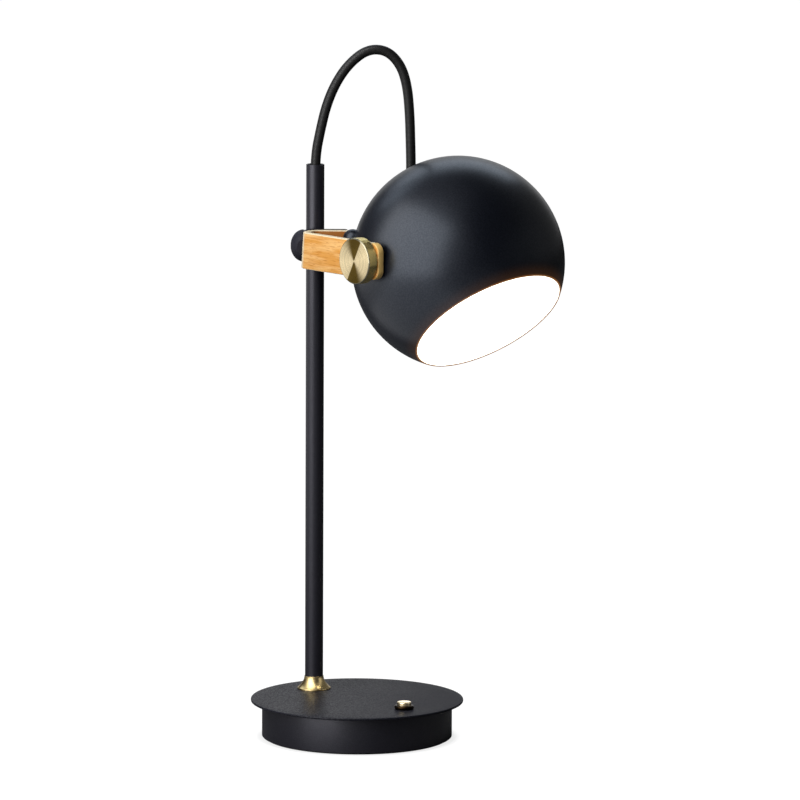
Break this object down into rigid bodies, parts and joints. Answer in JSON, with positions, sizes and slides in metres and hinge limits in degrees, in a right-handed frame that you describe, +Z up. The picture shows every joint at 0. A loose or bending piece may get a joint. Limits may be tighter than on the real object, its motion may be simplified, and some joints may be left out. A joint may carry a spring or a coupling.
{
  "type": "table lamp",
  "caption": "Cordless table lamp: ball shade held at its side by a bent bamboo strap and a brass thumb knob on a slim black pole, with a round weighted base and a short arched cord.",
  "frame": {"origin": "centre of the foot pad's rest face, under the middle of the round base", "axes": "+Z up along the pole; -Y towards the lamp's front, where the push button and the shade's mouth face; +X to the shade's side"},
  "size_m": [0.2471, 0.2298, 0.5839],
  "materials": {
    "black_coat": "matte fine-textured powder coat",
    "black_shade": "matte fine-textured powder coat outside, white inside",
    "brass": "satin brushed",
    "bamboo": "satin lacquer",
    "steel": "zinc plated",
    "iron": "raw",
    "rubber": "matte",
    "black_plastic": "matte",
    "nylon": "satin",
    "cell_wrap": "gloss",
    "circuit": "gloss",
    "aluminium": "satin",
    "lamp_chip": "gloss",
    "opal": "satin",
    "braid": "woven"
  },
  "bodies": {
    "stand": {"foot_pad": "rubber", "bottom_cover": "black_plastic", "cover_screws": "steel", "ballast_weight": "iron", "base_drum": "black_coat", "base_top_plate": "black_coat", "plate_studs": "steel", "plate_nuts": "steel", "battery_cells": "cell_wrap", "battery_tray": "black_plastic", "cell_contacts": "steel", "charging_board": "circuit", "charging_socket": "steel", "board_feet": "nylon", "switch_board": "circuit", "tact_switch": "black_plastic", "button_bezel": "brass", "bezel_nut": "brass", "button_dome": "rubber", "pole_tube": "black_coat", "pole_plug": "steel", "pole_nipple": "steel", "pole_washer": "steel", "pole_nut": "steel", "foot_collar": "brass", "pole_top_bush": "rubber", "pole_lead": "black_plastic", "lead_connector": "nylon", "cord_rise": "braid"},
    "button": {"button_cap": "brass", "button_clip": "steel"},
    "slider": {"clamp_bush": "nylon", "cord_crown": "braid"},
    "bracket": {"clamp_bar": "black_coat", "clamp_grub_screw": "steel", "strap_backing_plate": "black_coat", "bamboo_strap": "bamboo", "strap_screws": "steel", "pivot_sleeve": "brass", "knob_washer": "nylon", "friction_washer": "nylon"},
    "knob": {"thumb_knob": "brass", "knob_stud": "steel"},
    "shade": {"shade_shell": "black_shade", "pivot_boss": "black_coat", "pivot_dish_washer": "steel", "pivot_nut": "steel", "heat_sink": "aluminium", "lamp_board": "aluminium", "lamp_chips": "lamp_chip", "opal_diffuser": "opal", "side_cap": "black_shade", "side_cap_nut": "steel", "cord_gland": "black_plastic", "shade_lead": "black_plastic", "cord_drop": "braid"}
  },
  "joints": [
    {"name": "power_button", "type": "slide", "parent": "stand", "child": "button", "axis": [0, 0, -1], "range_m": [0, 0.001], "stiffness_N_per_m": 600, "springref_m": -0.001, "deforming": ["button_dome"]},
    {"name": "height_slide", "type": "slide", "parent": "stand", "child": "slider", "axis": [0, 0, 1], "range_m": [-0.05, 0.02], "deforming": ["cord_rise"]},
    {"name": "head_swivel", "type": "hinge", "parent": "slider", "child": "bracket", "pos_m": [0, 0.057, 0.4138], "axis": [0, 0, 1], "range_deg": [-90, 90], "deforming": ["cord_crown"]},
    {"name": "shade_tilt", "type": "hinge", "parent": "bracket", "child": "shade", "pos_m": [-0.0267, -0.0419, 0.4138], "axis": [1, 0, 0], "range_deg": [-41, 15], "deforming": ["cord_drop"]},
    {"name": "knob_turn", "type": "hinge", "parent": "bracket", "child": "knob", "pos_m": [-0.0267, -0.0419, 0.4138], "axis": [-1, 0, 0], "range_deg": [0, 180]}
  ]
}
